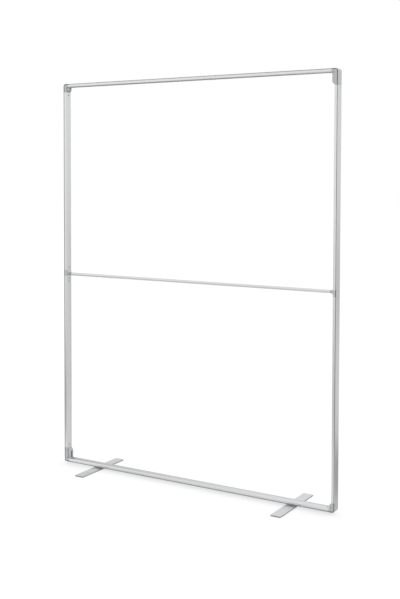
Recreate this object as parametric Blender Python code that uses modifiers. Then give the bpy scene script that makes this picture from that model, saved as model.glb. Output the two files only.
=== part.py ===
"""Free-standing display frame for silicone edge graphics.

A portrait frame of extruded aluminium. Every extrusion carries one bead channel
in its front face and one in its back face. The four corners and the two joints
at mid-height are solid connectors with tongues in the hollow extrusions. A round
crossbar ties the posts together, and two flat feet turn on screws under the
bottom rail. Metres, X to the right, Y to the back, Z up, origin on the floor.
"""

import math

import bmesh
import bpy
from mathutils import Matrix, Vector

# Overall sizes
FRAME_WIDTH = 1.550
FRAME_HEIGHT = 2.000
CROSSBAR_RISE = 1.001

# Clearance between pieces, overrun of the cuts, how far a rounding cut runs out past its
# arc (share of a step), and merging of doubled points
GAP = 0.0003
OVERRUN = 0.0010
CUT_RUNOUT = 0.25
MERGE_DISTANCE = 0.00001

# Extruded profile: width in the frame's plane, depth from front to back
PROFILE_WIDTH = 0.018
PROFILE_DEPTH = 0.041
LIP_WALL = 0.0018
INNER_WALL = 0.0018
FACE_WALL = 0.0020
ARRIS_RADIUS = 0.0008
INNER_RADIUS = 0.0055

# Bead channel: a silicone strip 3 mm thick is pressed into it
CHANNEL_WIDTH = 0.0038
CHANNEL_MOUTH = 0.0030
CHANNEL_DEPTH = 0.0130
MOUTH_DEPTH = 0.0016

# Shallow track along the inner face, and its distance from the rounded edges
TRACK_MARGIN = 0.0030
TRACK_DEPTH = 0.0012

# Corner and mid-height connectors
CORNER_RADIUS = 0.013
SHORT_ARM = 0.0285
SHORT_LEG = 0.043
TALL_ARM = 0.0315
TALL_LEG = 0.0745
GUSSET_MARGIN = 0.0025
MID_LONG_SIDE = 0.0207
MID_SHORT_SIDE = 0.0085
MID_REACH = 0.0070
MID_BOSS_SIDE = 0.0155
CONNECTOR_EDGE = 0.0006
TONGUE_LENGTH = 0.050
TONGUE_LEAD_IN = 0.0015

# Pocket in the inner face of each corner gusset
POCKET_WIDTH = 0.011
POCKET_DEPTH = 0.013
POCKET_RAIL_MARGIN = 0.0025
POCKET_CHAMFER_MARGIN = 0.0055

# Crossbar and its spigots
CROSSBAR_DIAMETER = 0.015
CROSSBAR_WALL = 0.0012
SPIGOT_DIAMETER = 0.0142
SPIGOT_NECK = 0.010
SPIGOT_SEAT = 0.016
SPIGOT_INSERT = 0.025
SPIGOT_CHAMFER = 0.0010

# Button-head screws that fix each extrusion to a tongue
FIXING_INSET = 0.0135
FIXING_SPACING = 0.0150
FIXING_SHANK = 0.0040
FIXING_HEAD = 0.0076
FIXING_HEAD_HEIGHT = 0.0022
FIXING_BITE = 0.0045
FIXING_HEX = 0.0025
FIXING_HEX_DEPTH = 0.0012

# Cap screws set at 45 degrees in the gusset chamfers
LOCK_HEAD = 0.0076
LOCK_HEAD_HEIGHT = 0.0040
LOCK_SINK = 0.0015
LOCK_SHANK = 0.0050
LOCK_SHANK_LENGTH = 0.0045
LOCK_HEX = 0.0040
LOCK_HEX_DEPTH = 0.0025

# Grub screws that hold the crossbar's spigots
GRUB_DIAMETER = 0.0040
GRUB_HEX = 0.0020
GRUB_HEX_DEPTH = 0.0020

# Feet
FOOT_LENGTH = 0.358
FOOT_WIDTH = 0.052
FOOT_THICKNESS = 0.005
FOOT_CORNER_RADIUS = 0.007
FOOT_EDGE = 0.0006
FOOT_INSET = 0.219
SPACER_DIAMETER = 0.016
SPACER_THICKNESS = 0.003
FOOT_SCREW_SHANK = 0.0060
FOOT_SCREW_HEAD = 0.0120
FOOT_SCREW_CONE = 0.0030
FOOT_SCREW_RIM = 0.0004
FOOT_SCREW_SINK = 0.0004
FOOT_SCREW_HEX = 0.0040
FOOT_SCREW_HEX_DEPTH = 0.0022
NUT_PLATE_LENGTH = 0.030
NUT_PLATE_WIDTH = 0.018
NUT_PLATE_THICKNESS = 0.0045

# Fineness of round shapes
SMALL_SEGMENTS = 16
TURNED_SEGMENTS = 24
BAR_SEGMENTS = 32
ARC_STEPS = 6
ARRIS_STEPS = 2
DOME_STEPS = 3
HEX_SIDES = 6

# Worked out from the sizes above
HALF_WIDTH = FRAME_WIDTH / 2
HALF_DEPTH = PROFILE_DEPTH / 2
BASE = FOOT_THICKNESS + GAP + SPACER_THICKNESS + GAP
TOP = BASE + FRAME_HEIGHT
BAR_AXIS = BASE + CROSSBAR_RISE
CORE_OUTER = LIP_WALL + CHANNEL_WIDTH + INNER_WALL
CORE_INNER = PROFILE_WIDTH - TRACK_DEPTH - INNER_WALL
CORE_HALF = HALF_DEPTH - FACE_WALL
TONGUE_OUTER = CORE_OUTER + GAP
TONGUE_INNER = CORE_INNER - GAP
CHANNEL_FLOOR = HALF_DEPTH - CHANNEL_DEPTH
TRACK_FLOOR = PROFILE_WIDTH - TRACK_DEPTH
TRACK_HALF = HALF_DEPTH - INNER_RADIUS - TRACK_MARGIN
GUSSET_HALF = HALF_DEPTH - INNER_RADIUS - GUSSET_MARGIN
SHORT_CORNER = (SHORT_ARM, SHORT_LEG)
TALL_CORNER = (TALL_ARM, TALL_LEG)
MID_FACE = PROFILE_WIDTH + MID_REACH
FOOT_X = HALF_WIDTH - FOOT_INSET
SQUARE = math.pi / 2
UPRIGHT = Matrix.Rotation(SQUARE, 4, "X")


# Scene and materials

def clear_scene():
    for obj in list(bpy.data.objects):
        bpy.data.objects.remove(obj, do_unlink=True)


def new_collection(name):
    collection = bpy.data.collections.new(name)
    bpy.context.scene.collection.children.link(collection)
    return collection


def new_material(name, color, metallic, roughness):
    material = bpy.data.materials.new(name)
    material.use_nodes = True
    shader = material.node_tree.nodes["Principled BSDF"]
    shader.inputs["Base Color"].default_value = (*color, 1)
    shader.inputs["Metallic"].default_value = metallic
    shader.inputs["Roughness"].default_value = roughness
    return material


def anodised(name):
    return new_material(name, (0.74, 0.75, 0.76), 1, 0.36)


def die_cast(name):
    return new_material(name, (0.50, 0.50, 0.51), 1, 0.42)


def zinc_plated(name):
    return new_material(name, (0.55, 0.56, 0.57), 1, 0.32)


def satin_steel(name):
    return new_material(name, (0.62, 0.63, 0.64), 1, 0.42)


def black_nylon(name):
    return new_material(name, (0.03, 0.03, 0.03), 0, 0.55)


# Shapes

def shape(name, mesh, matrix=None):
    """A working object; its mesh is moved by the matrix."""
    if matrix is not None:
        mesh.transform(matrix)
    obj = bpy.data.objects.new(name, mesh)
    bpy.context.scene.collection.objects.link(obj)
    return obj


def evaluated_mesh(obj):
    depsgraph = bpy.context.evaluated_depsgraph_get()
    return bpy.data.meshes.new_from_object(obj.evaluated_get(depsgraph))


def prism(points, half, matrix=None, edge=0):
    """A closed outline in X and Y, filled and drawn out to both sides along Z."""
    curve = bpy.data.curves.new("outline", "CURVE")
    curve.dimensions = "2D"
    curve.fill_mode = "BOTH"
    curve.extrude = half - edge
    curve.bevel_depth = edge
    curve.bevel_resolution = 1
    curve.offset = -edge
    spline = curve.splines.new("POLY")
    spline.points.add(len(points) - 1)
    for point, (x, y) in zip(spline.points, points):
        point.co = (x, y, 0, 1)
    spline.use_cyclic_u = True
    carrier = bpy.data.objects.new("outline", curve)
    bpy.context.scene.collection.objects.link(carrier)
    mesh = evaluated_mesh(carrier)
    bpy.data.objects.remove(carrier, do_unlink=True)
    bm = bmesh.new()
    bm.from_mesh(mesh)
    bmesh.ops.remove_doubles(bm, verts=bm.verts, dist=MERGE_DISTANCE)
    bmesh.ops.recalc_face_normals(bm, faces=bm.faces)
    bm.to_mesh(mesh)
    bm.free()
    return shape("prism", mesh, matrix)


def rod(radius, start, end, matrix=None, sides=TURNED_SEGMENTS):
    """A round or many-sided rod along Z."""
    bm = bmesh.new()
    bmesh.ops.create_cone(
        bm, cap_ends=True, segments=sides, radius1=radius, radius2=radius, depth=end - start
    )
    bmesh.ops.translate(bm, verts=bm.verts, vec=(0, 0, (start + end) / 2))
    mesh = bpy.data.meshes.new("rod")
    bm.to_mesh(mesh)
    bm.free()
    return shape("rod", mesh, matrix)


def block(low, high):
    """A box between two corners."""
    low, high = Vector(low), Vector(high)
    bm = bmesh.new()
    bmesh.ops.create_cube(bm, size=1)
    bmesh.ops.scale(bm, verts=bm.verts, vec=high - low)
    bmesh.ops.translate(bm, verts=bm.verts, vec=(low + high) / 2)
    mesh = bpy.data.meshes.new("block")
    bm.to_mesh(mesh)
    bm.free()
    return shape("block", mesh)


def turned(profile, matrix=None, closed=False, sides=TURNED_SEGMENTS):
    """A profile of radius and height turned about Z, read down its outer side."""
    mesh = bpy.data.meshes.new("profile")
    count = len(profile)
    edges = [(i, i + 1) for i in range(count - 1)]
    if closed:
        edges.append((count - 1, 0))
    mesh.from_pydata([(radius, 0, height) for radius, height in profile], edges, [])
    carrier = shape("profile", mesh)
    screw = carrier.modifiers.new("turn", "SCREW")
    screw.steps = sides
    screw.render_steps = sides
    screw.use_merge_vertices = True
    screw.merge_threshold = MERGE_DISTANCE
    solid = evaluated_mesh(carrier)
    bpy.data.objects.remove(carrier, do_unlink=True)
    return shape("turned", solid, matrix)


def solved(body, joins=(), cuts=()):
    """The mesh of a body with other shapes joined to it, then others cut from it."""
    steps = [(tool, "UNION") for tool in joins] + [(tool, "DIFFERENCE") for tool in cuts]
    for tool, operation in steps:
        modifier = body.modifiers.new(operation.lower(), "BOOLEAN")
        modifier.operation = operation
        modifier.solver = "EXACT"
        modifier.object = tool
    mesh = evaluated_mesh(body)
    for obj in [body] + [tool for tool, _ in steps]:
        bpy.data.objects.remove(obj, do_unlink=True)
    return mesh


def round_off(mesh):
    """Smooth shading that keeps real corners sharp."""
    mesh.shade_smooth()
    mesh.set_sharp_from_angle(angle=math.radians(35))
    return mesh


def add_piece(parts, name, mesh, material, location=(0, 0, 0), rotation=(0, 0, 0), parent=None):
    obj = bpy.data.objects.new(name, mesh.copy())
    obj.data.name = name
    obj.data.materials.clear()
    obj.data.materials.append(material)
    obj.location = location
    obj.rotation_euler = rotation
    obj.parent = parent
    parts.objects.link(obj)
    return obj


# Outlines

def arc(center, radius, start, end, steps):
    """Points of an arc, both ends included; angles in quarter turns."""
    points = []
    for i in range(steps + 1):
        angle = SQUARE * (start + (end - start) * i / steps)
        points.append((center[0] + radius * math.cos(angle), center[1] + radius * math.sin(angle)))
    return points


def profile_half():
    """Half of the profile's outline, from its outer face round to its inner face."""
    barb = LIP_WALL + CHANNEL_MOUTH
    points = arc((ARRIS_RADIUS, HALF_DEPTH - ARRIS_RADIUS), ARRIS_RADIUS, 2, 1, ARRIS_STEPS)
    points += [
        (LIP_WALL, HALF_DEPTH),
        (LIP_WALL, CHANNEL_FLOOR),
        (LIP_WALL + CHANNEL_WIDTH, CHANNEL_FLOOR),
        (LIP_WALL + CHANNEL_WIDTH, HALF_DEPTH - MOUTH_DEPTH),
        (barb, HALF_DEPTH - MOUTH_DEPTH),
        (barb, HALF_DEPTH),
    ]
    center = (PROFILE_WIDTH - INNER_RADIUS, HALF_DEPTH - INNER_RADIUS)
    points += arc(center, INNER_RADIUS, 1, 0, ARC_STEPS)
    points += [(PROFILE_WIDTH, TRACK_HALF), (TRACK_FLOOR, TRACK_HALF)]
    return points


def mirrored(points):
    return points + [(x, -y) for x, y in reversed(points)]


def chamber_cutters(half):
    """The core chamber, which takes the tongues, and the web chamber between the channels."""
    web = CHANNEL_FLOOR - INNER_WALL
    half += OVERRUN
    return [
        block((CORE_OUTER, -CORE_HALF, -half), (CORE_INNER, CORE_HALF, half)),
        block((LIP_WALL, -web, -half), (LIP_WALL + CHANNEL_WIDTH, web, half)),
    ]


def placed(points, side):
    """Outline points given inward and downward from a top corner, on either side."""
    return [(-side * inward, -down) for inward, down in points]


def corner_outline(arm, leg):
    bend = arc((CORNER_RADIUS, CORNER_RADIUS), CORNER_RADIUS, 2, 3, ARC_STEPS)
    inside = [(arm, 0), (arm, PROFILE_WIDTH), (PROFILE_WIDTH, PROFILE_WIDTH)]
    return bend + inside + [(PROFILE_WIDTH, leg), (0, leg)]


def gusset_outline(arm, start, leg):
    """The inward block between a start line and the 45 degree chamfer at the leg's end."""
    root = PROFILE_WIDTH - OVERRUN
    reach = arm - PROFILE_WIDTH
    return [
        (root, start),
        (arm, start),
        (arm, leg - reach),
        (PROFILE_WIDTH, leg),
        (root, leg),
    ]


def tongue_outline(end, direction):
    """A tongue that leaves the face at end, as (across, along) points."""
    tip = end + direction * TONGUE_LENGTH
    shoulder = tip - direction * TONGUE_LEAD_IN
    root = end - direction * OVERRUN
    return [
        (TONGUE_OUTER, root),
        (TONGUE_OUTER, shoulder),
        (TONGUE_OUTER + TONGUE_LEAD_IN, tip),
        (TONGUE_INNER - TONGUE_LEAD_IN, tip),
        (TONGUE_INNER, shoulder),
        (TONGUE_INNER, root),
    ]


def swapped(points):
    return [(y, x) for x, y in points]


def corner_channel(arm, leg):
    """The bead channel round a corner, run past both ends."""
    outer, inner = LIP_WALL, LIP_WALL + CHANNEL_WIDTH
    center = (CORNER_RADIUS, CORNER_RADIUS)
    outside = arc(center, CORNER_RADIUS - outer, 2, 3, ARC_STEPS)
    inside = arc(center, CORNER_RADIUS - inner, 3, 2, ARC_STEPS)
    ends = [(arm + OVERRUN, outer), (arm + OVERRUN, inner)]
    return outside + ends + inside + [(inner, leg + OVERRUN), (outer, leg + OVERRUN)]


def straight_channel(low, high):
    outer, inner = LIP_WALL, LIP_WALL + CHANNEL_WIDTH
    start, end = low - OVERRUN, high + OVERRUN
    return [(outer, start), (inner, start), (inner, end), (outer, end)]


def edge_section():
    """What a rounded inner edge takes away, as (inset from the inner face, depth) points."""
    center = (INNER_RADIUS, HALF_DEPTH - INNER_RADIUS)
    bend = [Vector(point) for point in arc(center, INNER_RADIUS, 2, 1, ARC_STEPS)]
    start = bend[0].lerp(bend[1], -CUT_RUNOUT)
    end = bend[-1].lerp(bend[-2], -CUT_RUNOUT)
    outside = HALF_DEPTH + OVERRUN
    corner = [end, (end.x, outside), (-OVERRUN, outside), (-OVERRUN, start.y), start]
    return bend + [tuple(point) for point in corner]


# Cutters shared by the connectors

def channel_cutters(outline):
    """The front and the back channel along one outline."""
    reach = (HALF_DEPTH + OVERRUN - CHANNEL_FLOOR) / 2
    middle = (HALF_DEPTH + OVERRUN + CHANNEL_FLOOR) / 2
    cutters = []
    for y in (-middle, middle):
        cutters.append(prism(outline, reach, Matrix.Translation((0, y, 0)) @ UPRIGHT))
    return cutters


def rounding_cutters(points, steps):
    """The front and the back cutter along points of the inner face; a step is one inset."""
    cutters = []
    for face in (-1, 1):
        bm = bmesh.new()
        rings = []
        for (x, z), (across, up) in zip(points, steps):
            ring = []
            for inset, depth in edge_section():
                ring.append(bm.verts.new((x + across * inset, face * depth, z + up * inset)))
            rings.append(ring)
        for near, far in zip(rings, rings[1:]):
            for i in range(len(near)):
                bm.faces.new((near[i - 1], near[i], far[i], far[i - 1]))
        bm.faces.new(rings[0])
        bm.faces.new(rings[-1])
        bmesh.ops.recalc_face_normals(bm, faces=bm.faces)
        mesh = bpy.data.meshes.new("rounding")
        bm.to_mesh(mesh)
        bm.free()
        cutters.append(shape("rounding", mesh))
    return cutters


def hole(radius, point, direction, depth):
    """A round cutter that enters at a point, with the overrun outside it."""
    turn = Vector(direction).to_track_quat("Z", "Y").to_matrix().to_4x4()
    matrix = Matrix.Translation(point) @ turn
    return rod(radius, -OVERRUN, depth, matrix, SMALL_SEGMENTS)


# Extrusions and the screws that fix them

def fixing_heights(length, doubled):
    """One fixing screw near each end, and a second one at a doubled end, -1 or 1."""
    reach = length / 2 - FIXING_INSET
    heights = [-reach, reach]
    if doubled:
        heights.append(doubled * (reach - FIXING_SPACING))
    return heights


def extrusion_mesh(length, fixings, foot_screws):
    """An extrusion along Z with its outer face at X zero and its inner face towards +X."""
    body = prism(mirrored(profile_half()), length / 2)
    cuts = chamber_cutters(length / 2)
    inner_wall = PROFILE_WIDTH - CORE_INNER + OVERRUN
    outer_walls = CORE_OUTER + OVERRUN
    for height in fixings:
        cuts.append(hole(FIXING_SHANK / 2 + GAP, (PROFILE_WIDTH, 0, height), (-1, 0, 0), inner_wall))
    for height in foot_screws:
        cuts.append(hole(FOOT_SCREW_SHANK / 2 + GAP, (0, 0, height), (1, 0, 0), outer_walls))
    return solved(body, cuts=cuts)


def button_screw_mesh():
    """A domed screw; its head's underside is at zero and its shank points down."""
    head = FIXING_HEAD / 2
    shank = FIXING_SHANK / 2
    length = TRACK_FLOOR - TONGUE_INNER + FIXING_BITE + GAP
    dome = []
    for i in range(DOME_STEPS + 1):
        angle = SQUARE * i / DOME_STEPS
        dome.append((head * math.sin(angle), FIXING_HEAD_HEIGHT * math.cos(angle)))
    body = turned(dome + [(shank, 0), (shank, -length), (0, -length)], sides=SMALL_SEGMENTS)
    floor = FIXING_HEAD_HEIGHT - FIXING_HEX_DEPTH
    socket = rod(FIXING_HEX / 2, floor, FIXING_HEAD_HEIGHT + OVERRUN, sides=HEX_SIDES)
    return round_off(solved(body, cuts=[socket]))


def add_extrusion(parts, name, length, location, rotation, foot_screws=(), doubled=0):
    """One extrusion with its button-head screws."""
    fixings = fixing_heights(length, doubled)
    mesh = extrusion_mesh(length, fixings, foot_screws)
    member = add_piece(parts, name, mesh, anodised(name), location, rotation)
    screw = button_screw_mesh()
    for tag, height in zip("abc", fixings):
        screw_name = f"{name}_screw_{tag}"
        place = (TRACK_FLOOR + GAP, 0, height)
        add_piece(parts, screw_name, screw, zinc_plated(screw_name), place, (0, SQUARE, 0), member)


# Corner connectors

def lock_axis(size, side):
    """Middle of the chamfer and the way its screw points, in a top corner's axes."""
    arm, leg = size
    middle = (arm - PROFILE_WIDTH) / 2
    inward = PROFILE_WIDTH + middle
    down = leg - middle
    return Vector((-side * inward, 0, -down)), Vector((side, 0, 1)).normalized()


def fixing_holes(size, side):
    """Holes in both tongues for the screws that fix the extrusions."""
    arm, leg = size
    depth = FIXING_BITE + GAP
    reach = FIXING_INSET + GAP
    rail = (-side * (arm + reach), 0, -TONGUE_INNER)
    post = (-side * TONGUE_INNER, 0, -(leg + reach))
    radius = FIXING_SHANK / 2 + GAP
    return [hole(radius, rail, (0, 0, 1), depth), hole(radius, post, (side, 0, 0), depth)]


def pocket_cutter(size, side):
    """The pocket between the rail and the lock screw, open at the gusset's inner face."""
    arm, leg = size
    ends = [-side * (arm - POCKET_DEPTH), -side * (arm + OVERRUN)]
    top = PROFILE_WIDTH + POCKET_RAIL_MARGIN
    end = leg - (arm - PROFILE_WIDTH) - POCKET_CHAMFER_MARGIN
    half = POCKET_WIDTH / 2
    return block((min(ends), -half, -end), (max(ends), half, -top))


def corner_mesh(size, side):
    """A top corner with its origin at the frame's outer corner."""
    arm, leg = size
    body = prism(placed(corner_outline(arm, leg), side), HALF_DEPTH, UPRIGHT, CONNECTOR_EDGE)
    tongue_half = CORE_HALF - GAP
    gusset = gusset_outline(arm, PROFILE_WIDTH - OVERRUN, leg)
    joins = [
        prism(placed(gusset, side), GUSSET_HALF, UPRIGHT),
        prism(placed(tongue_outline(leg, 1), side), tongue_half, UPRIGHT),
        prism(placed(swapped(tongue_outline(arm, 1)), side), tongue_half, UPRIGHT),
    ]
    cuts = channel_cutters(placed(corner_channel(arm, leg), side))
    bend = (PROFILE_WIDTH, PROFILE_WIDTH)
    line = [(arm + OVERRUN, PROFILE_WIDTH), bend, (PROFILE_WIDTH, leg + OVERRUN)]
    steps = [(0, -1), (-1, -1), (-1, 0)]
    cuts += rounding_cutters(placed(line, side), placed(steps, side))
    cuts.append(pocket_cutter(size, side))
    point, way = lock_axis(size, side)
    sink = LOCK_SINK + LOCK_HEAD_HEIGHT + GAP
    cuts.append(hole(LOCK_HEAD / 2 + GAP, point, way, sink))
    cuts.append(hole(LOCK_SHANK / 2 + GAP, point, way, sink + LOCK_SHANK_LENGTH))
    cuts += fixing_holes(size, side)
    return solved(body, joins, cuts)


def lock_screw_mesh():
    """A cap screw whose head top is at zero and whose shank points down."""
    head = LOCK_HEAD / 2
    shank = LOCK_SHANK / 2
    length = LOCK_HEAD_HEIGHT + LOCK_SHANK_LENGTH
    profile = [
        (0, 0),
        (head, 0),
        (head, -LOCK_HEAD_HEIGHT),
        (shank, -LOCK_HEAD_HEIGHT),
        (shank, -length),
        (0, -length),
    ]
    body = turned(profile, sides=SMALL_SEGMENTS)
    socket = rod(LOCK_HEX / 2, -LOCK_HEX_DEPTH, OVERRUN, sides=HEX_SIDES)
    return round_off(solved(body, cuts=[socket]))


def add_corner(parts, name, mesh, size, side, over):
    """A corner connector with its lock screw; over turns a top corner into a bottom one."""
    height = BASE if over else TOP
    turn = math.pi if over else 0
    right = -side if over else side
    location = (right * HALF_WIDTH, 0, height)
    corner = add_piece(parts, name, mesh, die_cast(name), location, (0, turn, 0))
    point, way = lock_axis(size, side)
    name = f"{name}_lock_screw"
    lean = (0, math.atan2(-way.x, -way.z), 0)
    screw = lock_screw_mesh()
    add_piece(parts, name, screw, zinc_plated(name), point + way * LOCK_SINK, lean, corner)


def add_corners(parts):
    """Opposite corners share one connector: a short one and a tall one."""
    short = corner_mesh(SHORT_CORNER, -1)
    tall = corner_mesh(TALL_CORNER, 1)
    add_corner(parts, "corner_top_left", short, SHORT_CORNER, -1, False)
    add_corner(parts, "corner_bottom_right", short, SHORT_CORNER, -1, True)
    add_corner(parts, "corner_top_right", tall, TALL_CORNER, 1, False)
    add_corner(parts, "corner_bottom_left", tall, TALL_CORNER, 1, True)


# Mid-height connectors

def mid_connector_mesh():
    """The left connector, with its origin on the post's outer face at the crossbar's axis."""
    low, high = -MID_SHORT_SIDE, MID_LONG_SIDE
    outline = [(0, low), (PROFILE_WIDTH, low), (PROFILE_WIDTH, high), (0, high)]
    body = prism(outline, HALF_DEPTH, UPRIGHT, CONNECTOR_EDGE)
    tongue_half = CORE_HALF - GAP
    joins = [
        prism(gusset_outline(MID_FACE, low, MID_BOSS_SIDE), GUSSET_HALF, UPRIGHT),
        prism(tongue_outline(high, 1), tongue_half, UPRIGHT),
        prism(tongue_outline(low, -1), tongue_half, UPRIGHT),
    ]
    cuts = channel_cutters(straight_channel(low, high))
    line = [(PROFILE_WIDTH, low - OVERRUN), (PROFILE_WIDTH, high + OVERRUN)]
    cuts += rounding_cutters(line, [(-1, 0), (-1, 0)])
    cuts.append(hole(SPIGOT_DIAMETER / 2 + GAP, (MID_FACE, 0, 0), (-1, 0, 0), SPIGOT_SEAT + GAP))
    grub = (MID_FACE - MID_REACH / 2, GUSSET_HALF, 0)
    cuts.append(hole(GRUB_DIAMETER / 2 + GAP, grub, (0, -1, 0), GUSSET_HALF))
    radius = FIXING_SHANK / 2 + GAP
    reach = GAP + FIXING_INSET
    for height in (high + reach, low - reach, low - reach - FIXING_SPACING):
        cuts.append(hole(radius, (TONGUE_INNER, 0, height), (-1, 0, 0), FIXING_BITE + GAP))
    return solved(body, joins, cuts)


def grub_screw_mesh():
    """A grub screw with its socket end at zero, pointing down."""
    length = GUSSET_HALF - SPIGOT_DIAMETER / 2 - GAP * 2
    radius = GRUB_DIAMETER / 2
    body = rod(radius, -length, 0, sides=SMALL_SEGMENTS)
    socket = rod(GRUB_HEX / 2, -GRUB_HEX_DEPTH, OVERRUN, sides=HEX_SIDES)
    return round_off(solved(body, cuts=[socket]))


def add_mid_connectors(parts):
    mesh = mid_connector_mesh()
    grub = grub_screw_mesh()
    for side, tag, turn in ((-1, "left", 0), (1, "right", math.pi)):
        name = f"mid_connector_{tag}"
        location = (side * HALF_WIDTH, 0, BAR_AXIS)
        connector = add_piece(parts, name, mesh, die_cast(name), location, (0, turn, 0))
        name = f"crossbar_grub_screw_{tag}"
        location = (MID_FACE - MID_REACH / 2, GUSSET_HALF - GAP, 0)
        add_piece(parts, name, grub, zinc_plated(name), location, (-SQUARE, 0, 0), connector)


# Crossbar

def add_crossbar(parts):
    """A tube between two turned spigots that stand in the mid-height connectors."""
    tube_end = HALF_WIDTH - MID_FACE - SPIGOT_NECK
    outer = CROSSBAR_DIAMETER / 2
    inner = outer - CROSSBAR_WALL
    ring = [(outer, tube_end), (outer, -tube_end), (inner, -tube_end), (inner, tube_end)]
    tube = round_off(solved(turned(ring, closed=True, sides=BAR_SEGMENTS)))
    add_piece(parts, "crossbar", tube, anodised("crossbar"), (0, 0, BAR_AXIS), (0, SQUARE, 0))
    neck = SPIGOT_DIAMETER / 2
    insert = inner - GAP
    tip = SPIGOT_NECK + SPIGOT_SEAT
    profile = [
        (0, tip),
        (neck - SPIGOT_CHAMFER, tip),
        (neck, tip - SPIGOT_CHAMFER),
        (neck, GAP),
        (insert, GAP),
        (insert, SPIGOT_CHAMFER - SPIGOT_INSERT),
        (insert - SPIGOT_CHAMFER, -SPIGOT_INSERT),
        (0, -SPIGOT_INSERT),
    ]
    spigot = round_off(solved(turned(profile)))
    for side, tag in ((-1, "left"), (1, "right")):
        name = f"crossbar_spigot_{tag}"
        location = (side * tube_end, 0, BAR_AXIS)
        add_piece(parts, name, spigot, zinc_plated(name), location, (0, side * SQUARE, 0))


# Posts and rails

def add_members(parts):
    """Rails run between the corners; each post is an upper and a lower length."""
    rail = FRAME_WIDTH - SHORT_ARM - TALL_ARM - GAP * 2
    shift = (TALL_ARM - SHORT_ARM) / 2
    feet = (shift - FOOT_X, shift + FOOT_X)
    add_extrusion(parts, "top_rail", rail, (-shift, 0, TOP), (0, SQUARE, 0))
    add_extrusion(parts, "bottom_rail", rail, (shift, 0, BASE), (0, -SQUARE, 0), feet)
    posts = [
        ("left_post_upper", -1, BAR_AXIS + MID_LONG_SIDE, TOP - SHORT_LEG, 0),
        ("left_post_lower", -1, BASE + TALL_LEG, BAR_AXIS - MID_SHORT_SIDE, 1),
        ("right_post_upper", 1, BAR_AXIS + MID_SHORT_SIDE, TOP - TALL_LEG, -1),
        ("right_post_lower", 1, BASE + SHORT_LEG, BAR_AXIS - MID_LONG_SIDE, 0),
    ]
    for name, side, low, high, doubled in posts:
        turn = math.pi if side > 0 else 0
        location = (side * HALF_WIDTH, 0, (low + high) / 2)
        length = high - low - GAP * 2
        add_extrusion(parts, name, length, location, (0, 0, turn), doubled=doubled)


# Feet

def foot_outline():
    x = FOOT_WIDTH / 2 - FOOT_CORNER_RADIUS
    y = FOOT_LENGTH / 2 - FOOT_CORNER_RADIUS
    corners = ((x, y, 0), (-x, y, 1), (-x, -y, 2), (x, -y, 3))
    points = []
    for cx, cy, turn in corners:
        points += arc((cx, cy), FOOT_CORNER_RADIUS, turn, turn + 1, ARC_STEPS)
    return points


def foot_mesh():
    """A flat bar with its underside at zero and a countersunk hole on the pivot axis."""
    middle = Matrix.Translation((0, 0, FOOT_THICKNESS / 2))
    body = prism(foot_outline(), FOOT_THICKNESS / 2, middle, FOOT_EDGE)
    head = FOOT_SCREW_HEAD / 2 + GAP
    shank = FOOT_SCREW_SHANK / 2 + GAP
    lip = FOOT_SCREW_SINK + FOOT_SCREW_RIM + GAP
    sink = turned([
        (0, FOOT_THICKNESS + OVERRUN),
        (shank, FOOT_THICKNESS + OVERRUN),
        (shank, lip + FOOT_SCREW_CONE),
        (head, lip),
        (head, -OVERRUN),
        (0, -OVERRUN),
    ])
    return solved(body, cuts=[sink])


def foot_screw_mesh():
    """A countersunk screw that points up from the foot's underside at zero."""
    head = FOOT_SCREW_HEAD / 2
    shank = FOOT_SCREW_SHANK / 2
    tip = BASE + TONGUE_OUTER + NUT_PLATE_THICKNESS
    rim = FOOT_SCREW_SINK + FOOT_SCREW_RIM
    body = turned([
        (0, tip),
        (shank, tip),
        (shank, rim + FOOT_SCREW_CONE),
        (head, rim),
        (head, FOOT_SCREW_SINK),
        (0, FOOT_SCREW_SINK),
    ])
    floor = FOOT_SCREW_SINK + FOOT_SCREW_HEX_DEPTH
    socket = rod(FOOT_SCREW_HEX / 2, FOOT_SCREW_SINK - OVERRUN, floor, sides=HEX_SIDES)
    return round_off(solved(body, cuts=[socket]))


def spacer_mesh():
    outer = SPACER_DIAMETER / 2
    inner = FOOT_SCREW_SHANK / 2 + GAP
    ring = [(outer, SPACER_THICKNESS), (outer, 0), (inner, 0), (inner, SPACER_THICKNESS)]
    return round_off(solved(turned(ring, closed=True)))


def nut_plate_mesh():
    length, width = NUT_PLATE_LENGTH / 2, NUT_PLATE_WIDTH / 2
    body = block((-length, -width, 0), (length, width, NUT_PLATE_THICKNESS))
    bore = rod(FOOT_SCREW_SHANK / 2 + GAP, -OVERRUN, NUT_PLATE_THICKNESS + OVERRUN)
    return solved(body, cuts=[bore])


def add_feet(parts):
    """Each foot turns about the upright axis of its screw."""
    pieces = [
        ("foot", foot_mesh(), satin_steel, 0),
        ("foot_screw", foot_screw_mesh(), zinc_plated, 0),
        ("foot_spacer", spacer_mesh(), black_nylon, FOOT_THICKNESS + GAP),
        ("foot_nut_plate", nut_plate_mesh(), zinc_plated, BASE + TONGUE_OUTER),
    ]
    for side, tag in ((-1, "left"), (1, "right")):
        for kind, mesh, finish, height in pieces:
            name = f"{kind}_{tag}"
            add_piece(parts, name, mesh, finish(name), (side * FOOT_X, 0, height))


def main():
    clear_scene()
    parts = new_collection("seg_display_frame")
    add_members(parts)
    add_corners(parts)
    add_mid_connectors(parts)
    add_crossbar(parts)
    add_feet(parts)


main()
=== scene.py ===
"""Looks of a free-standing frame for a fabric graphic with a silicone edge."""

import math

import bmesh
import bpy
from mathutils import Matrix, Vector


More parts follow.
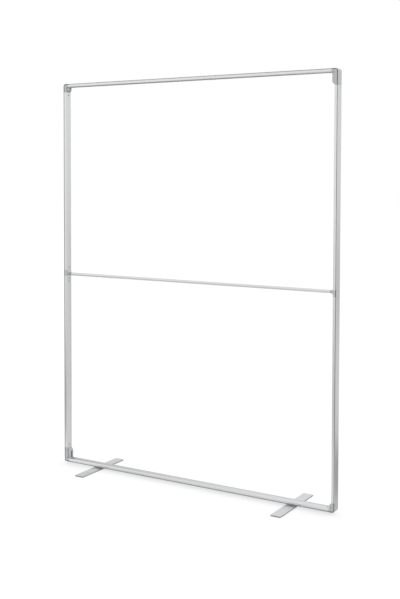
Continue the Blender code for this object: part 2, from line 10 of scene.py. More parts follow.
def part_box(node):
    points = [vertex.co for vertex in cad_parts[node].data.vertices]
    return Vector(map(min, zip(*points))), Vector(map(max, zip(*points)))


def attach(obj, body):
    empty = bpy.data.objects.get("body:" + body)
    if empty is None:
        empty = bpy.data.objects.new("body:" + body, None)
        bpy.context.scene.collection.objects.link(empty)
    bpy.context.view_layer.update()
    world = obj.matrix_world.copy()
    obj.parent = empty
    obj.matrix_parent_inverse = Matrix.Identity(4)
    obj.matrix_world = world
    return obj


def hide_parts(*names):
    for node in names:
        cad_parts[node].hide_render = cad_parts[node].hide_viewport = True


bl_info = {
    "name": "Edge graphic frame looks",
    "version": (1, 0, 0),
    "blender": (4, 5, 0),
    "location": "View3D > Sidebar > Frame",
    "description": "Finishes the pieces of a display frame and sets up its studio",
    "category": "Object",
}

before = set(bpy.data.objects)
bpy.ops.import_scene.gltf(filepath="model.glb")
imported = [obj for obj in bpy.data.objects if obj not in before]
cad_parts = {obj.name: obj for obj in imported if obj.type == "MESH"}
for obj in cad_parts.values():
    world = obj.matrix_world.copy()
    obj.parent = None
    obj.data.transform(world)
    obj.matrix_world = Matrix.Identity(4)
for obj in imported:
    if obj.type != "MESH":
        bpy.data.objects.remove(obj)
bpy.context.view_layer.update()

MM = 0.001
AXES = "XYZ"

# --- The pieces ---

EXTRUSIONS_UPRIGHT = (
    "left_post_upper", "left_post_lower", "right_post_upper", "right_post_lower",
)
EXTRUSIONS_LEVEL = ("top_rail", "bottom_rail")
CORNERS = (
    "corner_top_left", "corner_top_right", "corner_bottom_left", "corner_bottom_right",
)
MIDS = ("mid_connector_left", "mid_connector_right")
SIDES = ("left", "right")
SCREW_LETTERS = "abc"
# The way that the screws of each extrusion and of each corner face
FACING = {
    "left_post_upper": (1, 0, 0),
    "left_post_lower": (1, 0, 0),
    "right_post_upper": (-1, 0, 0),
    "right_post_lower": (-1, 0, 0),
    "top_rail": (0, 0, -1),
    "bottom_rail": (0, 0, 1),
    "corner_top_left": (1, 0, -1),
    "corner_top_right": (-1, 0, -1),
    "corner_bottom_left": (1, 0, 1),
    "corner_bottom_right": (-1, 0, 1),
}

# --- Shape of the screws and of the rounded edges ---

BUTTON_SCREW = {
    "head": 7.6 * MM, "rim": 0.35 * MM, "dome": 2.0 * MM,
    "shank": 4 * MM, "length": 6.73 * MM, "depth": 1.3 * MM,
}
LOCK_SCREW = {
    "head": 7.6 * MM, "rim": 4 * MM, "dome": 0,
    "shank": 5 * MM, "length": 4.5 * MM, "depth": 2.5 * MM,
}
SCREW_SIDES = 40
HEXAGON = 6
# The dome is drawn in rings up to this turn, and ends in a flat there
DOME_RINGS = 6
DOME_TURN = math.radians(66)
# Share of the shank's width that its chamfered tip takes in height and loses in width
TIP = 0.2
SCREW_EDGE = 0.12 * MM
SCREW_SMOOTH_BELOW = math.radians(32)
# A face looks up or down where its normal's height is past this
UPWARD = 0.9
ROUND_STEPS = 2
SHARP_FROM = math.radians(40)
FLAT_WITHIN = math.radians(1)
# How much large faces count in the shading: at 50 all faces count the same
FLATS_FIRST = 60

# --- Finishes: streaks are across and along, and each roughness is the lowest and the highest ---

# Noise stays mostly between these two
NOISE_RANGE = (0.3, 0.7)
# The steps of finer noise, and how strongly they show
NOISE_DETAIL = 2.0
STREAK_BLEND = 0.55
SPECK_BLEND = 0.5

# The oxide layer dulls what anodised metal mirrors at a low angle
OXIDE_TINT = (0.8, 0.8, 0.8, 1.0)
EXTRUSION_BAND = (5 * MM, 900 * MM)
EXTRUSION_DARK = 0.95
# Real die lines are about 0.2 mm apart: they are drawn at 0.9 mm so that they show
EXTRUSION_LINE = (0.9 * MM, 300 * MM)
EXTRUSION_LINE_DEPTH = 0.01 * MM
# The etch is finer than 0.1 mm: it is drawn at 0.6 mm so that it shows
EXTRUSION_ETCH = 0.6 * MM
EXTRUSION_ETCH_DEPTH = 0.004 * MM
EXTRUSION_ROUGHNESS = (0.24, 0.32)

LACQUERED_CASTING = {"Metallic": 0.6, "Coat Weight": 0.7, "Coat Roughness": 0.22}
CASTING_PATCH = 9 * MM
CASTING_DARK = 0.93
CASTING_PEEL = 1.4 * MM
CASTING_PEEL_DEPTH = 0.02 * MM
CASTING_ROUGHNESS = (0.38, 0.5)

ZINC_CLOUD = 2.5 * MM
ZINC_DARK = 0.85
ZINC_HAZE = 0.8 * MM
# The crystals of the plating are finer than 0.1 mm: they are drawn at 0.4 mm so that they show
ZINC_GRAIN = 0.4 * MM
ZINC_GRAIN_DEPTH = 0.003 * MM
ZINC_ROUGHNESS = (0.24, 0.38)

# The share of metal in the steel under its matt lacquer
LACQUERED_STEEL = 0.45
STEEL_BAND = (3.5 * MM, 160 * MM)
STEEL_DARK = 0.88
# Real brush marks are about 0.05 mm apart: they are drawn at 0.7 mm so that they show
STEEL_MARK = (0.7 * MM, 60 * MM)
STEEL_MARK_DEPTH = 0.012 * MM
STEEL_ROUGHNESS = (0.3, 0.46)
# Painted shade on the bar's sides, as a share of its colour, and the heights of the normal where
# side ends and face begins
SIDE_PAINTED_SHADE = 0.38
SHADED_SIDE_TO_FACE = (0.6, 0.95)

NYLON_IOR = 1.53
NYLON_GRAIN = 0.5 * MM
NYLON_DARK = 0.7
NYLON_GRAIN_DEPTH = 0.015 * MM
NYLON_ROUGHNESS = (0.45, 0.6)


def towards(azimuth, elevation):
    """Unit vector: azimuth 0 points out in front of the frame, and 90 to its right."""
    turn = math.radians(azimuth)
    rise = math.radians(elevation)
    level = math.cos(rise)
    return Vector((math.sin(turn) * level, -math.cos(turn) * level, math.sin(rise)))


# --- Studio ---

# The camera was fitted to the photograph's edges: its place in metres, its turns in degrees, its
# lens in millimetres, and how far the picture is shifted, as a share of its longer side
CAMERA_PLACE = (2.4749, -4.0281, 1.5235)
CAMERA_TURN = 31.037
CAMERA_DOWN = 2.390
CAMERA_ROLL = 0.145
CAMERA_LENS = 58.23
CAMERA_SHIFT = -0.137
# A camera that isn't turned looks straight down
LOOK_LEVEL = 90

# Name, azimuth, elevation, strength and width of each sun lamp, with angles in degrees
LAMPS = (
    ("lamp_back_right", 130, 22, 0.85, 45),
    ("lamp_back", 180, 22, 0.85, 45),
    ("lamp_back_left", 230, 22, 1.0, 45),
    ("lamp_top", 0, 88, 0.5, 80),
    ("lamp_key", -40, 35, 0.3, 60),
)
# The world's plain light on matt surfaces
FILL = 0.45

FLOOR_SIZE = 60
# The share of the floor's white that a shadow can take away, and the glow that gives the rest
FLOOR_SHADOW = 0.54
FLOOR_LIFT = 0.56

# The studio as the metal mirrors it, on the sky and on the floor: a grey, and soft patches with
# their centre, the radius where they are full, the radius where they end, and what they add.
# The sky's centres are directions, and the floor's are places in metres.
STUDIO_GREY = 0.75
STUDIO_PATCHES = (
    (towards(0, 90), 0.5, 1.4, 0.13),
    (towards(-50, 8), 0.1, 0.8, 0.22),
    (towards(-15, 8), 0.1, 0.7, 0.06),
    (towards(30, 8), 0.1, 0.8, 0.24),
    (towards(85, 8), 0.2, 1.0, 0.06),
    (towards(148, 9), 0.1, 0.6, 0.10),
    (towards(-162, 22), 0.1, 0.5, 0.20),
    (towards(-130, 12), 0.1, 0.45, -0.35),
)
FLOOR_GREY = 0.65
FLOOR_PATCHES = (
    ((0.0, 0.0, 0.0), 0.3, 2.0, 0.14),
    ((-1.5, -2.0, 0.0), 0.5, 3.0, -0.22),
    ((-9.0, -11.0, 0.0), 6.0, 14.0, 0.22),
    ((2.4, 4.0, 0.0), 1.0, 4.5, 0.14),
    ((-9.0, 12.0, 0.0), 7.0, 16.0, -0.62),
    ((1.05, 0.6, 0.0), 0.2, 0.8, -0.32),
    ((-1.4, 3.0, 0.0), 0.5, 2.4, -0.40),
    ((-0.92, -0.22, 0.0), 0.15, 0.6, 0.25),
)


def linear(code):
    """An sRGB hex colour as linear red, green, blue and full alpha."""
    parts = [int(code[i:i + 2], 16) / 255 for i in (1, 3, 5)]
    return [p / 12.92 if p <= 0.04045 else ((p + 0.055) / 1.055) ** 2.4 for p in parts] + [1.0]


# --- Sizes and colours a user would change ---


class FrameSizes(bpy.types.PropertyGroup):
    """Small sizes of the finish, in metres."""

    weld: bpy.props.FloatProperty(
        name="Weld distance", description="Loose corners nearer than this are joined",
        default=0.01 * MM, unit="LENGTH", precision=6)
    edge: bpy.props.FloatProperty(
        name="Edge round", description="Fine round on the edges of the extrusions",
        default=0.2 * MM, unit="LENGTH", precision=6)
    screw_socket: bpy.props.FloatProperty(
        name="Fixing socket", description="Across the corners of the hexagon in the fixing screws",
        default=2.7 * MM, unit="LENGTH", precision=6)
    lock_socket: bpy.props.FloatProperty(
        name="Lock socket", description="Across the corners of the hexagon in the lock screws",
        default=4.2 * MM, unit="LENGTH", precision=6)
    cast_edge: bpy.props.FloatProperty(
        name="Cast edge round", description="Round on the edges of the cast connectors",
        default=0.45 * MM, unit="LENGTH", precision=6)


class FrameColours(bpy.types.PropertyGroup):
    """Colours of the materials and the studio."""

    aluminium: bpy.props.FloatVectorProperty(
        name="Anodised aluminium", description="Extrusions and crossbar", subtype="COLOR",
        size=4, min=0, max=1, default=linear("#EBECED"))
    casting: bpy.props.FloatVectorProperty(
        name="Coated casting", description="Corner connectors", subtype="COLOR",
        size=4, min=0, max=1, default=linear("#CDCECF"))
    block: bpy.props.FloatVectorProperty(
        name="Coated block", description="Middle connectors", subtype="COLOR",
        size=4, min=0, max=1, default=linear("#D6D7D8"))
    zinc: bpy.props.FloatVectorProperty(
        name="Zinc plating", description="Screws and spigots", subtype="COLOR",
        size=4, min=0, max=1, default=linear("#B9BCBF"))
    steel: bpy.props.FloatVectorProperty(
        name="Brushed steel", description="Feet", subtype="COLOR",
        size=4, min=0, max=1, default=linear("#DADBDD"))
    nylon: bpy.props.FloatVectorProperty(
        name="Black nylon", description="Spacer washers", subtype="COLOR",
        size=4, min=0, max=1, default=linear("#1C1C1D"))
    floor: bpy.props.FloatVectorProperty(
        name="Floor", description="Pale studio floor", subtype="COLOR",
        size=4, min=0, max=1, default=linear("#F2F2F2"))


# --- Node materials ---


def node(tree, kind, inputs=None, **settings):
    """Adds a node with its settings, and puts a value or a link into each named input."""
    made = tree.nodes.new(kind)
    for name, value in settings.items():
        setattr(made, name, value)
    for key, value in (inputs or {}).items():
        if isinstance(value, bpy.types.NodeSocket):
            tree.links.new(value, made.inputs[key])
        else:
            made.inputs[key].default_value = value
    return made


def new_material(name, shader):
    """A node material with a Principled shader, its output, and the object's coordinates."""
    material = bpy.data.materials.new(name)
    material.use_nodes = True
    tree = material.node_tree
    tree.nodes.clear()
    principled = node(tree, "ShaderNodeBsdfPrincipled", shader)
    node(tree, "ShaderNodeOutputMaterial", {"Surface": principled.outputs[0]})
    place = node(tree, "ShaderNodeTexCoord").outputs["Object"]
    return material, tree, principled, place


def streaks(tree, place, axis, size):
    """Noise drawn out along one axis: size is a streak's width and its length, in metres."""
    across, along = size
    scale = [1 / across] * len(AXES)
    scale[AXES.index(axis)] = 1 / along
    stretched = node(
        tree, "ShaderNodeMapping", {"Vector": place, "Scale": scale}, vector_type="POINT")
    noise = {"Vector": stretched.outputs[0], "Scale": 1.0, "Detail": NOISE_DETAIL,
             "Roughness": STREAK_BLEND}
    return node(tree, "ShaderNodeTexNoise", noise).outputs[0]


def specks(tree, place, size):
    """Even noise with specks of one size in metres."""
    noise = {"Vector": place, "Scale": 1 / size, "Detail": NOISE_DETAIL, "Roughness": SPECK_BLEND}
    return node(tree, "ShaderNodeTexNoise", noise).outputs[0]


def spread(tree, value, low, high):
    """Turns noise about a half into values between low and high."""
    darkest, lightest = NOISE_RANGE
    inputs = {"Value": value, "From Min": darkest, "From Max": lightest,
              "To Min": low, "To Max": high}
    return node(tree, "ShaderNodeMapRange", inputs).outputs[0]


def toned(tree, colour, noise, dark):
    """The colour, darkened to a share of itself where the noise is low."""
    low = [c * dark for c in colour[:3]] + [1.0]
    # By number, because the node's colour inputs share their names with its other kinds
    inputs = {0: spread(tree, noise, 0, 1), 6: low, 7: list(colour)}
    return node(tree, "ShaderNodeMix", inputs, data_type="RGBA").outputs[2]


def relief(tree, principled, height, depth, below=None):
    """A bump of a real depth in metres, laid over another one if it is given."""
    inputs = {"Height": height, "Strength": 1.0, "Distance": depth}
    if below is not None:
        inputs["Normal"] = below
    bump = node(tree, "ShaderNodeBump", inputs)
    tree.links.new(bump.outputs[0], principled.inputs["Normal"])
    return bump.outputs[0]


def anodised_extrusion(name, axis, colour):
    """Anodised aluminium, extruded: a satin metal with soft lines from the die along its length."""
    shader = {"Metallic": 1.0, "Specular Tint": OXIDE_TINT}
    material, tree, principled, place = new_material(name, shader)
    band = streaks(tree, place, axis, EXTRUSION_BAND)
    line = streaks(tree, place, axis, EXTRUSION_LINE)
    tint = toned(tree, colour, band, EXTRUSION_DARK)
    tree.links.new(tint, principled.inputs["Base Color"])
    tree.links.new(spread(tree, line, *EXTRUSION_ROUGHNESS), principled.inputs["Roughness"])
    etch = specks(tree, place, EXTRUSION_ETCH)
    etched = relief(tree, principled, etch, EXTRUSION_ETCH_DEPTH)
    relief(tree, principled, line, EXTRUSION_LINE_DEPTH, etched)
    return material


def coated_casting(name, colour):
    """Die-cast metal under a thin silver-grey lacquer: satin, with a fine orange peel on it."""
    material, tree, principled, place = new_material(name, LACQUERED_CASTING)
    tint = toned(tree, colour, specks(tree, place, CASTING_PATCH), CASTING_DARK)
    tree.links.new(tint, principled.inputs["Base Color"])
    peel = specks(tree, place, CASTING_PEEL)
    tree.links.new(spread(tree, peel, *CASTING_ROUGHNESS), principled.inputs["Roughness"])
    relief(tree, principled, peel, CASTING_PEEL_DEPTH)
    return material


def zinc_plating(name, colour):
    """Steel with bright zinc plating: a cool metal whose gloss is cloudy."""
    material, tree, principled, place = new_material(name, {"Metallic": 1.0})
    tint = toned(tree, colour, specks(tree, place, ZINC_CLOUD), ZINC_DARK)
    tree.links.new(tint, principled.inputs["Base Color"])
    haze = specks(tree, place, ZINC_HAZE)
    tree.links.new(spread(tree, haze, *ZINC_ROUGHNESS), principled.inputs["Roughness"])
    relief(tree, principled, specks(tree, place, ZINC_GRAIN), ZINC_GRAIN_DEPTH)
    return material


def brushed_steel(name, axis, colour):
    """Flat steel bar, brushed along its length and matt lacquered: long fine streaks on its faces.

    Its sides carry painted shade: they are darker than its top, by which way they face.
    """
    material, tree, principled, place = new_material(name, {"Metallic": LACQUERED_STEEL})
    band = streaks(tree, place, axis, STEEL_BAND)
    mark = streaks(tree, place, axis, STEEL_MARK)
    # Painted shade: the colour darkens where the surface faces sideways, not up or down
    facing = node(tree, "ShaderNodeTexCoord").outputs["Normal"]
    rise = node(tree, "ShaderNodeSeparateXYZ", {"Vector": facing}).outputs["Z"]
    flat = node(tree, "ShaderNodeMath", {0: rise}, operation="ABSOLUTE").outputs[0]
    side, face = SHADED_SIDE_TO_FACE
    level = node(
        tree, "ShaderNodeMapRange",
        {"Value": flat, "From Min": side, "From Max": face, "To Min": SIDE_PAINTED_SHADE, "To Max": 1.0})
    tint = node(
        tree, "ShaderNodeVectorMath",
        {0: toned(tree, colour, band, STEEL_DARK), "Scale": level.outputs[0]}, operation="SCALE")
    tree.links.new(tint.outputs[0], principled.inputs["Base Color"])
    tree.links.new(spread(tree, mark, *STEEL_ROUGHNESS), principled.inputs["Roughness"])
    relief(tree, principled, mark, STEEL_MARK_DEPTH)
    return material


def moulded_nylon(name, colour):
    """Black nylon, moulded: a dark half-matt plastic with a fine spark-eroded grain."""
    material, tree, principled, place = new_material(name, {"Metallic": 0.0, "IOR": NYLON_IOR})
    grain = specks(tree, place, NYLON_GRAIN)
    tree.links.new(toned(tree, colour, grain, NYLON_DARK), principled.inputs["Base Color"])
    tree.links.new(spread(tree, grain, *NYLON_ROUGHNESS), principled.inputs["Roughness"])
    relief(tree, principled, grain, NYLON_GRAIN_DEPTH)
    return material


def finish(piece, material):
    """Puts one material on all of a piece."""
    if not piece.material_slots:
        piece.data.materials.append(None)
    for slot in piece.material_slots:
        slot.link = "OBJECT"
        slot.material = material


# --- Shapes ---


def round_edges(piece, width):
    """A modifier with a fine round on a piece's sharp edges."""
    rounded = piece.modifiers.new("edges", "BEVEL")
    rounded.width = width
    rounded.segments = ROUND_STEPS
    rounded.limit_method = "ANGLE"
    rounded.angle_limit = SHARP_FROM


def soften(piece, weld, edge):
    """Live modifiers on a CAD node: they weld its loose triangles, join flats and round edges.

    The last one lets the large flats set the shading, so that its curves look smooth.
    """
    joined = piece.modifiers.new("weld", "WELD")
    joined.merge_threshold = weld
    flats = piece.modifiers.new("flats", "DECIMATE")
    flats.decimate_type = "DISSOLVE"
    flats.angle_limit = FLAT_WITHIN
    round_edges(piece, edge)
    shading = piece.modifiers.new("shading", "WEIGHTED_NORMAL")
    shading.weight = FLATS_FIRST


def select_only(piece):
    """Selects one object and makes it the active one."""
    bpy.ops.object.select_all(action="DESELECT")
    piece.select_set(True)
    bpy.context.view_layer.objects.active = piece


def pick_faces(piece, way):
    """In edit mode, selects only the faces that look up (1) or down (-1)."""
    shape = bmesh.from_edit_mesh(piece.data)
    for face in shape.faces:
        face.select_set(False)
    for face in shape.faces:
        if face.normal.z * way > UPWARD:
            face.select_set(True)
    shape.select_flush(True)
    bmesh.update_edit_mesh(piece.data)


def draw_out(rise):
    """Extrudes the selected faces straight up, or down where the rise is negative."""
    bpy.ops.mesh.extrude_region_move(TRANSFORM_OT_translate={"value": (0, 0, rise)})


def narrow_to(share, height):
    """Narrows the selected faces to a share of their width, at their height."""
    bpy.ops.transform.resize(value=(share, share, 1), center_override=(0, 0, height))


def turned_screw(name, socket, head, rim, dome, shank, length, depth):
    """A socket screw on the origin: the head's underside is at zero, and the shank goes down.

    The head is a disc of the rim's height with rings drawn in above it for the dome. The shank is
    drawn out of its underside, and a hexagon is cut out of its top.
    """
    bpy.ops.object.select_all(action="DESELECT")
    bpy.ops.mesh.primitive_cylinder_add(
        vertices=SCREW_SIDES, radius=head / 2, depth=rim, location=(0, 0, rim / 2),
        end_fill_type="NGON")
    piece = bpy.context.object
    piece.name = name
    bpy.ops.object.mode_set(mode="EDIT")
    bpy.ops.mesh.select_mode(type="FACE")
    if dome:
        pick_faces(piece, 1)
        wide, high = 1.0, 0.0
        for ring in range(1, DOME_RINGS + 1):
            angle = DOME_TURN * ring / DOME_RINGS
            draw_out(dome * math.sin(angle) - high)
            narrow_to(math.cos(angle) / wide, rim)
            wide, high = math.cos(angle), dome * math.sin(angle)
    pick_faces(piece, -1)
    bpy.ops.mesh.inset(thickness=(head - shank) / 2, depth=0)
    draw_out(-length + shank * TIP)
    draw_out(-shank * TIP)
    narrow_to(1 - TIP, -length)
    bpy.ops.object.mode_set(mode="OBJECT")
    top = rim + dome * math.sin(DOME_TURN)
    bpy.ops.object.select_all(action="DESELECT")
    bpy.ops.mesh.primitive_cylinder_add(
        vertices=HEXAGON, radius=socket / 2, depth=depth * 2, location=(0, 0, top),
        end_fill_type="NGON")
    cutter = bpy.context.object
    cut = piece.modifiers.new("socket", "BOOLEAN")
    cut.operation = "DIFFERENCE"
    cut.solver = "EXACT"
    cut.object = cutter
    round_edges(piece, SCREW_EDGE)
    select_only(piece)
    for modifier in list(piece.modifiers):
        bpy.ops.object.modifier_apply(modifier=modifier.name)
    bpy.data.objects.remove(cutter, do_unlink=True)
    bpy.ops.object.shade_smooth_by_angle(angle=SCREW_SMOOTH_BELOW)
    return piece


def set_screw(model, node_name, head_top, outward, material):
    """Puts a copy of a screw where a CAD screw is, with its head's top at a point.

    The copy rides on the frame and stands for the CAD screw.
    """
    twin = model.copy()
    twin.data = model.data.copy()
    twin.name = f"{node_name}_turned"
    bpy.context.scene.collection.objects.link(twin)
    top = max(corner.co.z for corner in model.data.vertices)
    lean = outward.to_track_quat("Z", "Y").to_matrix().to_4x4()
    twin.matrix_world = Matrix.Translation(head_top - outward * top) @ lean
    select_only(twin)
    bpy.ops.object.transform_apply(location=True, rotation=True, scale=True)
    finish(twin, material)
    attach(twin, "frame")
    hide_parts(node_name)


def facing_end(node_name, outward):
    """The top of a fixing screw: its box's middle, moved to the box's end that faces out."""
    low, high = (Vector(corner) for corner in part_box(node_name))
    middle = (low + high) / 2
    reach = sum(abs(outward[i]) * (high[i] - low[i]) / 2 for i in range(len(AXES)))
    return middle + outward * reach


def slanted_end(node_name, outward, radius):
    """The top of a lock screw, which leans in the frame's own plane.

    The rim of its head touches its box's outer faces, so the top's middle lies inside them.
    """
    low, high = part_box(node_name)
    top = Vector([0, (low[1] + high[1]) / 2, 0])
    for axis in (0, 2):
        face = high[axis] if outward[axis] > 0 else low[axis]
        top[axis] = face - math.copysign(radius * abs(outward[axis]), outward[axis])
    return top


# --- Operators ---


class FRAME_OT_extrusions(bpy.types.Operator):
    """Finish the two rails and the four post extrusions in satin anodised aluminium"""

    bl_idname = "frame_looks.extrusions"
    bl_label = "Extrusions"

    def execute(self, context):
        sizes = context.scene.frame_sizes
        colours = context.scene.frame_colours
        upright = anodised_extrusion("anodised_aluminium_upright", "Z", colours.aluminium)
        level = anodised_extrusion("anodised_aluminium_level", "X", colours.aluminium)
        for names, material in ((EXTRUSIONS_UPRIGHT, upright), (EXTRUSIONS_LEVEL, level)):
            for name in names:
                soften(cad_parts[name], sizes.weld, sizes.edge)
                finish(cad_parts[name], material)
        return {"FINISHED"}


class FRAME_OT_connectors(bpy.types.Operator):
    """Finish the corner connectors and the middle connectors as coated castings"""

    bl_idname = "frame_looks.connectors"
    bl_label = "Connectors"

    def execute(self, context):
        sizes = context.scene.frame_sizes
        colours = context.scene.frame_colours
        corner = coated_casting("lacquered_die_casting_corner", colours.casting)
        block = coated_casting("lacquered_die_casting_block", colours.block)
        for names, material in ((CORNERS, corner), (MIDS, block)):
            for name in names:
                soften(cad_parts[name], sizes.weld, sizes.cast_edge)
                finish(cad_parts[name], material)
        return {"FINISHED"}


class FRAME_OT_crossbar(bpy.types.Operator):
    """Finish the crossbar, its spigots and their grub screws"""

    bl_idname = "frame_looks.crossbar"
    bl_label = "Crossbar"

    def execute(self, context):
        sizes = context.scene.frame_sizes
        colours = context.scene.frame_colours
        tube = anodised_extrusion("anodised_aluminium_tube", "X", colours.aluminium)
        zinc = zinc_plating("zinc_plated_turned_steel", colours.zinc)
        looks = [("crossbar", tube)]
        for side in SIDES:
            looks += [(f"crossbar_spigot_{side}", zinc), (f"crossbar_grub_screw_{side}", zinc)]
        for name, material in looks:
            soften(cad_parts[name], sizes.weld, sizes.edge)
            finish(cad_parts[name], material)
        return {"FINISHED"}


class FRAME_OT_screws(bpy.types.Operator):
    """Turn the screws that hold the extrusions and lock the corners"""

    bl_idname = "frame_looks.screws"
    bl_label = "Screws"

    def execute(self, context):
        sizes = context.scene.frame_sizes
        zinc = zinc_plating("zinc_plated_screw_steel", context.scene.frame_colours.zinc)
        button = turned_screw("button_screw", sizes.screw_socket, **BUTTON_SCREW)
        for extrusion in EXTRUSIONS_UPRIGHT + EXTRUSIONS_LEVEL:
            outward = Vector(FACING[extrusion])
            for letter in SCREW_LETTERS:
                name = f"{extrusion}_screw_{letter}"
                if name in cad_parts:
                    set_screw(button, name, facing_end(name, outward), outward, zinc)
        bpy.data.objects.remove(button, do_unlink=True)
        cap = turned_screw("lock_screw", sizes.lock_socket, **LOCK_SCREW)
        for corner in CORNERS:
            name = f"{corner}_lock_screw"
            outward = Vector(FACING[corner]).normalized()
            top = slanted_end(name, outward, LOCK_SCREW["head"] / 2)
            set_screw(cap, name, top, outward, zinc)
        bpy.data.objects.remove(cap, do_unlink=True)
        return {"FINISHED"}


class FRAME_OT_feet(bpy.types.Operator):
    """Finish the two feet with their screws, spacers and nut plates"""

    bl_idname = "frame_looks.feet"
    bl_label = "Feet"

    def execute(self, context):
        sizes = context.scene.frame_sizes
        colours = context.scene.frame_colours
        steel = brushed_steel("brushed_steel_bar", "Y", colours.steel)
        zinc = zinc_plating("zinc_plated_foot_steel", colours.zinc)
        nylon = moulded_nylon("moulded_black_nylon", colours.nylon)
        for side in SIDES:
            looks = ((f"foot_{side}", steel), (f"foot_screw_{side}", zinc),
                     (f"foot_nut_plate_{side}", zinc), (f"foot_spacer_{side}", nylon))
            for name, material in looks:
                soften(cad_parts[name], sizes.weld, sizes.edge)
                finish(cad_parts[name], material)
        return {"FINISHED"}


class FRAME_OT_stage(bpy.types.Operator):
    """Add the pale floor, the soft lamps, the white surroundings and the camera"""

    bl_idname = "frame_looks.stage"
    bl_label = "Studio"

    def execute(self, context):
        scene = context.scene
        bpy.ops.mesh.primitive_plane_add(size=FLOOR_SIZE)
        floor = context.object
        floor.name = "studio_floor"
        finish(floor, floor_material(scene.frame_colours.floor))
        white_surroundings(scene)
        for name, azimuth, elevation, strength, width in LAMPS:
            sun(name, azimuth, elevation, strength, width)
        scene.camera = photo_camera(scene)
        scene.view_settings.view_transform = "Standard"
        return {"FINISHED"}


# --- The stage's own parts ---


def sun(name, azimuth, elevation, strength, width):
    """A soft sun lamp for the floor's shadow and for matt pieces: the metal doesn't mirror it."""
    data = bpy.data.lights.new(name, "SUN")
    data.energy = strength
    data.angle = math.radians(width)
    lamp = bpy.data.objects.new(name, data)
    bpy.context.scene.collection.objects.link(lamp)
    lamp.visible_glossy = False
    lamp.rotation_euler = towards(azimuth, elevation).to_track_quat("Z", "Y").to_euler()


def photo_camera(scene):
    """The camera at the photograph's angle: it turns, tilts and rolls in that order."""
    lens = bpy.data.cameras.new("photo_camera")
    lens.lens = CAMERA_LENS
    lens.shift_y = CAMERA_SHIFT
    camera = bpy.data.objects.new("photo_camera", lens)
    scene.collection.objects.link(camera)
    turn = Matrix.Rotation(math.radians(CAMERA_TURN), 4, "Z")
    tilt = Matrix.Rotation(math.radians(LOOK_LEVEL - CAMERA_DOWN), 4, "X")
    roll = Matrix.Rotation(math.radians(CAMERA_ROLL), 4, "Z")
    camera.matrix_world = Matrix.Translation(CAMERA_PLACE) @ turn @ tilt @ roll
    return camera


def soft_patches(tree, place, ground, patches):
    """A ground tone with soft patches on it: centre, where each is full, where it ends, amount."""
    tone = ground
    for centre, full, ends, amount in patches:
        away = node(tree, "ShaderNodeVectorMath", {0: place, 1: centre}, operation="DISTANCE")
        fade = node(
            tree, "ShaderNodeMapRange",
            {"Value": away.outputs["Value"], "From Min": full, "From Max": ends,
             "To Min": amount, "To Max": 0.0}, interpolation_type="SMOOTHSTEP")
        added = node(tree, "ShaderNodeMath", {0: tone, 1: fade.outputs[0]}, operation="ADD")
        tone = added.outputs[0]
    return tone


def floor_material(colour):
    """Matt pale floor: white to the eye with the object's soft shadow, greyer in reflections."""
    material = bpy.data.materials.new("matt_studio_floor")
    material.use_nodes = True
    tree = material.node_tree
    tree.nodes.clear()
    place = node(tree, "ShaderNodeNewGeometry").outputs["Position"]
    tone = soft_patches(tree, place, FLOOR_GREY, FLOOR_PATCHES)
    camera = node(tree, "ShaderNodeLightPath").outputs["Is Camera Ray"]
    level = node(tree, "ShaderNodeMath", {0: tone, 1: camera}, operation="MAXIMUM").outputs[0]
    shaded = [c * FLOOR_SHADOW for c in colour[:3]]
    tint = node(tree, "ShaderNodeVectorMath", {0: shaded, "Scale": level}, operation="SCALE")
    matt = node(tree, "ShaderNodeBsdfDiffuse", {"Color": tint.outputs[0]})
    lift = node(tree, "ShaderNodeMath", {0: level, 1: FLOOR_LIFT}, operation="MULTIPLY")
    glow = node(tree, "ShaderNodeEmission", {"Strength": lift.outputs[0]})
    both = node(tree, "ShaderNodeAddShader", {0: matt.outputs[0], 1: glow.outputs[0]})
    node(tree, "ShaderNodeOutputMaterial", {"Surface": both.outputs[0]})
    material.cycles.emission_sampling = "NONE"
    return material


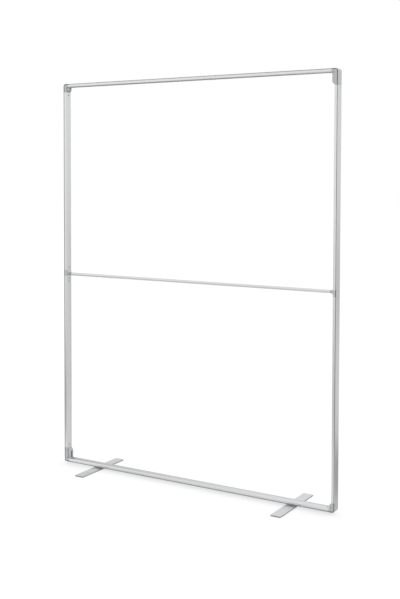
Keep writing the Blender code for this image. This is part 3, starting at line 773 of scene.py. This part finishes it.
def white_surroundings(scene):
    """White for the camera, soft greys for gloss and glass, and a plain fill for the rest."""
    world = bpy.data.worlds.new("white_surroundings")
    scene.world = world
    world.use_nodes = True
    tree = world.node_tree
    tree.nodes.clear()
    path = node(tree, "ShaderNodeLightPath").outputs
    # A world's Generated coordinates are the direction of the ray
    place = node(tree, "ShaderNodeTexCoord").outputs["Generated"]
    studio = soft_patches(tree, place, STUDIO_GREY, STUDIO_PATCHES)
    gloss = node(
        tree, "ShaderNodeMath", {0: path["Is Glossy Ray"], 1: path["Is Transmission Ray"]},
        operation="MAXIMUM")
    light = node(
        tree, "ShaderNodeMapRange",
        {"Value": gloss.outputs[0], "To Min": FILL, "To Max": studio})
    seen = node(
        tree, "ShaderNodeMath", {0: light.outputs[0], 1: path["Is Camera Ray"]},
        operation="MAXIMUM")
    level = node(tree, "ShaderNodeMath", {0: seen.outputs[0], 1: 1.0}, operation="MINIMUM")
    back = node(
        tree, "ShaderNodeBackground", {"Color": (1, 1, 1, 1), "Strength": level.outputs[0]})
    node(tree, "ShaderNodeOutputWorld", {"Surface": back.outputs[0]})
    world.cycles.sampling_method = "NONE"


# --- Panel and registration ---

OPERATORS = (
    FRAME_OT_extrusions, FRAME_OT_connectors, FRAME_OT_crossbar, FRAME_OT_screws, FRAME_OT_feet,
    FRAME_OT_stage,
)


class FRAME_PT_looks(bpy.types.Panel):
    """Buttons for each group of pieces and for the studio"""

    bl_label = "Edge graphic frame"
    bl_space_type = "VIEW_3D"
    bl_region_type = "UI"
    bl_category = "Frame"

    def draw(self, context):
        for operator in OPERATORS:
            self.layout.operator(operator.bl_idname)
        for group in (context.scene.frame_sizes, context.scene.frame_colours):
            for name in group.bl_rna.properties.keys():
                if name not in ("rna_type", "name"):
                    self.layout.prop(group, name)


CLASSES = (FrameSizes, FrameColours) + OPERATORS + (FRAME_PT_looks,)


def register():
    for cls in CLASSES:
        bpy.utils.register_class(cls)
    bpy.types.Scene.frame_sizes = bpy.props.PointerProperty(type=FrameSizes)
    bpy.types.Scene.frame_colours = bpy.props.PointerProperty(type=FrameColours)


def unregister():
    del bpy.types.Scene.frame_colours
    del bpy.types.Scene.frame_sizes
    for cls in reversed(CLASSES):
        bpy.utils.unregister_class(cls)


def main():
    register()
    bpy.ops.object.select_all(action="DESELECT")
    bpy.ops.frame_looks.extrusions()
    bpy.ops.frame_looks.connectors()
    bpy.ops.frame_looks.crossbar()
    bpy.ops.frame_looks.screws()
    bpy.ops.frame_looks.feet()
    bpy.ops.frame_looks.stage()


if __name__ == "__main__":
    main()
